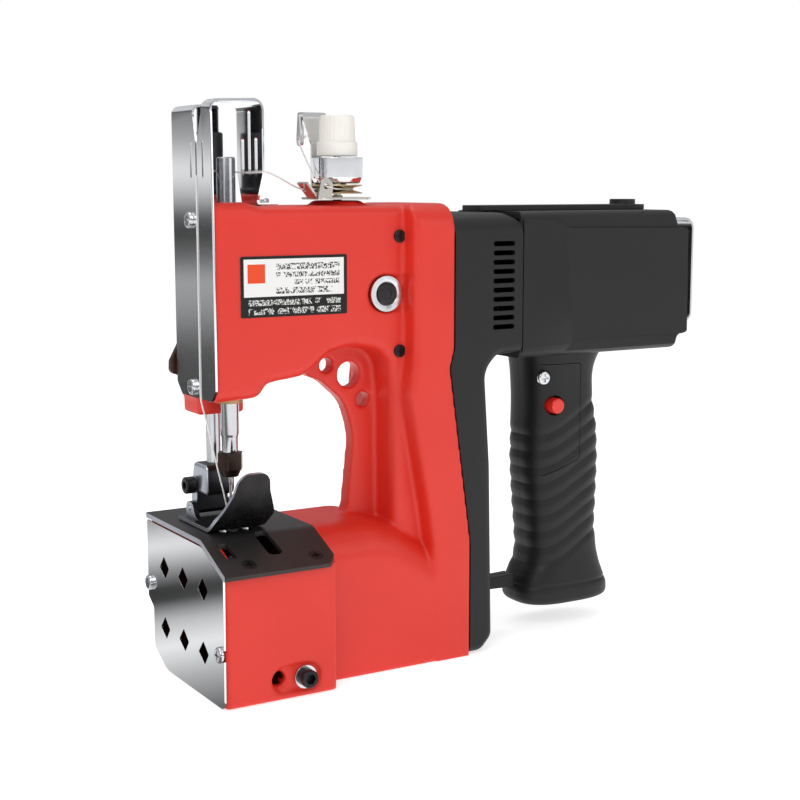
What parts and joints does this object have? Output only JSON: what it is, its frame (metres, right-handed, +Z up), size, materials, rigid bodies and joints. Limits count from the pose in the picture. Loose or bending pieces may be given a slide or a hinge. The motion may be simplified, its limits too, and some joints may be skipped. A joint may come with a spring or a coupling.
{
  "type": "bag closer sewing machine",
  "caption": "Hand-held bag closing sewing machine, red cast frame with needle bar, presser foot and needle plate, thread tension unit, and black motor housing with ribbed grip and button.",
  "frame": {"origin": "on the flat underside of the base, right below the needle", "axes": "+Z up along the needle, +X from the needle to the motor, -Y the side where the bag enters"},
  "size_m": [0.3337, 0.1075, 0.3094],
  "materials": {
    "red_casting": "satin red powder coat",
    "black_plate": "blackened and brushed",
    "chrome_sheet": "polished chrome",
    "zinc_screw": "bright zinc plate",
    "black_steel": "black oxide",
    "bronze": "sintered bronze",
    "polished_steel": "ground bright steel",
    "dark_nut": "dark brown oxide",
    "grey_steel": "plain steel",
    "spring_steel": "spring wire",
    "brown_lever": "brown oxide",
    "nickel": "nickel plate",
    "brass_disc": "nickelled brass",
    "cream_knob": "cream nylon",
    "label": "plain printed plate",
    "black_housing": "fine grained black nylon",
    "red_button": "glossy red",
    "black_plastic": "plain black",
    "rubber": "matt",
    "spool_bar": "satin black paint",
    "carbon": "carbon"
  },
  "bodies": {
    "root": {"arm_bush": "zinc_screw", "bar_bushes": "bronze", "base_end_cover": "chrome_sheet", "base_lock_washer": "zinc_screw", "belt_cover": "black_housing", "black_screws": "black_steel", "carbon_brushes": "carbon", "cord_inlet_bush": "rubber", "cover_screws": "zinc_screw", "face_plate_far": "chrome_sheet", "face_plate_near": "chrome_sheet", "gear_plate": "grey_steel", "grip_brace": "black_housing", "housing_far": "black_housing", "housing_near": "black_housing", "looper_pivot": "polished_steel", "main_casting": "red_casting", "motor_stator_and_coils": "grey_steel", "name_label": "label", "needle_plate": "black_plate", "needle_plate_screws": "zinc_screw", "presser_adjust_screw": "black_steel", "presser_sleeve": "black_steel", "presser_spring": "spring_steel", "shaft_bearings": "bronze", "socket_screws": "black_steel", "spool_arm": "spool_bar", "switch_body": "black_plastic", "switch_panel": "black_housing", "tail_bail": "polished_steel", "tall_thread_guide": "chrome_sheet", "tension_bracket": "nickel", "tension_disc_lower": "brass_disc", "tension_post": "nickel", "tension_spring": "spring_steel", "tension_spring_cup": "chrome_sheet", "timing_belt": "rubber"},
    "motor_armature": {"motor_armature": "grey_steel", "cooling_fan": "black_plastic"},
    "reduction_layshaft": {"reduction_layshaft": "grey_steel"},
    "upper_crankshaft": {"upper_crankshaft": "grey_steel", "upper_gear_pulley": "black_plastic"},
    "lower_shaft": {"lower_shaft": "grey_steel"},
    "needle_bar": {"needle_bar": "polished_steel", "collet_nut": "dark_nut", "needle": "polished_steel", "needle_bar_clamp": "grey_steel", "connecting_rod": "grey_steel"},
    "looper": {"looper": "polished_steel"},
    "feed_dog": {"feed_dog": "polished_steel"},
    "presser_bar": {"presser_bar": "polished_steel", "presser_bar_collar": "grey_steel", "presser_foot_holder": "grey_steel", "foot_clamp_screw": "black_steel"},
    "presser_sole": {"presser_sole": "black_steel", "sole_hinge_pin": "polished_steel"},
    "lift_lever": {"presser_lift_lever": "brown_lever"},
    "tension_knob": {"tension_knob": "cream_knob"},
    "tension_disc": {"tension_disc_upper": "brass_disc"},
    "switch_button": {"switch_button": "red_button"}
  },
  "joints": [
    {"name": "armature_spin", "type": "hinge", "parent": "root", "child": "motor_armature", "pos_m": [0.2, 0.008, 0.209], "axis": [1, 0, 0], "continuous": true},
    {"name": "layshaft_spin", "type": "hinge", "parent": "root", "child": "reduction_layshaft", "pos_m": [0.14, 0.008, 0.1898], "axis": [1, 0, 0], "continuous": true},
    {"name": "crankshaft_spin", "type": "hinge", "parent": "root", "child": "upper_crankshaft", "pos_m": [0.06, 0.008, 0.209], "axis": [1, 0, 0], "continuous": true},
    {"name": "lower_shaft_spin", "type": "hinge", "parent": "root", "child": "lower_shaft", "pos_m": [0.06, 0.008, 0.045], "axis": [1, 0, 0], "continuous": true},
    {"name": "needle_bar_stroke", "type": "slide", "parent": "root", "child": "needle_bar", "axis": [0, 0, 1], "range_m": [-0.015, 0.009]},
    {"name": "looper_swing", "type": "hinge", "parent": "root", "child": "looper", "pos_m": [0.003, 0.018, 0.028], "axis": [1, 0, 0], "range_deg": [-6, 10]},
    {"name": "feed_dog_travel", "type": "slide", "parent": "root", "child": "feed_dog", "axis": [0, 1, 0], "range_m": [-0.003, 0.0018]},
    {"name": "presser_lift", "type": "slide", "parent": "root", "child": "presser_bar", "axis": [0, 0, 1], "range_m": [0, 0.008], "stiffness_N_per_m": 600, "springref_m": -0.01, "deforming": ["presser_spring"]},
    {"name": "sole_tilt", "type": "hinge", "parent": "presser_bar", "child": "presser_sole", "pos_m": [0, 0.028, 0.0918], "axis": [1, 0, 0], "range_deg": [-5, 0.2], "stiffness_Nm_per_rad": 0.3},
    {"name": "lift_lever_turn", "type": "hinge", "parent": "root", "child": "lift_lever", "pos_m": [-0.003, 0.036, 0.186], "axis": [0, -1, 0], "range_deg": [0, 55]},
    {"name": "tension_knob_turn", "type": "hinge", "parent": "root", "child": "tension_knob", "pos_m": [0.0685, 0.0055, 0.29], "axis": [0, 0, 1], "range_deg": [-180, 180]},
    {"name": "tension_disc_gap", "type": "slide", "parent": "root", "child": "tension_disc", "axis": [0, 0, 1], "range_m": [0, 0.0006], "stiffness_N_per_m": 800, "springref_m": -0.001, "deforming": ["tension_spring"]},
    {"name": "switch_button_press", "type": "slide", "parent": "root", "child": "switch_button", "axis": [0, 1, 0], "range_m": [0, 0.003], "stiffness_N_per_m": 900, "springref_m": -0.001}
  ],
  "couplings": [
    {"joint": "layshaft_spin", "follows": "armature_spin", "ratio": -0.33333},
    {"joint": "crankshaft_spin", "follows": "armature_spin", "ratio": 0.11111},
    {"joint": "lower_shaft_spin", "follows": "armature_spin", "ratio": 0.11111},
    {"joint": "looper_swing", "follows": "needle_bar_stroke", "rad_per_m": -11.26},
    {"joint": "feed_dog_travel", "follows": "needle_bar_stroke", "ratio": 0.19},
    {"joint": "lift_lever_turn", "follows": "presser_lift", "rad_per_m": 119.74}
  ]
}
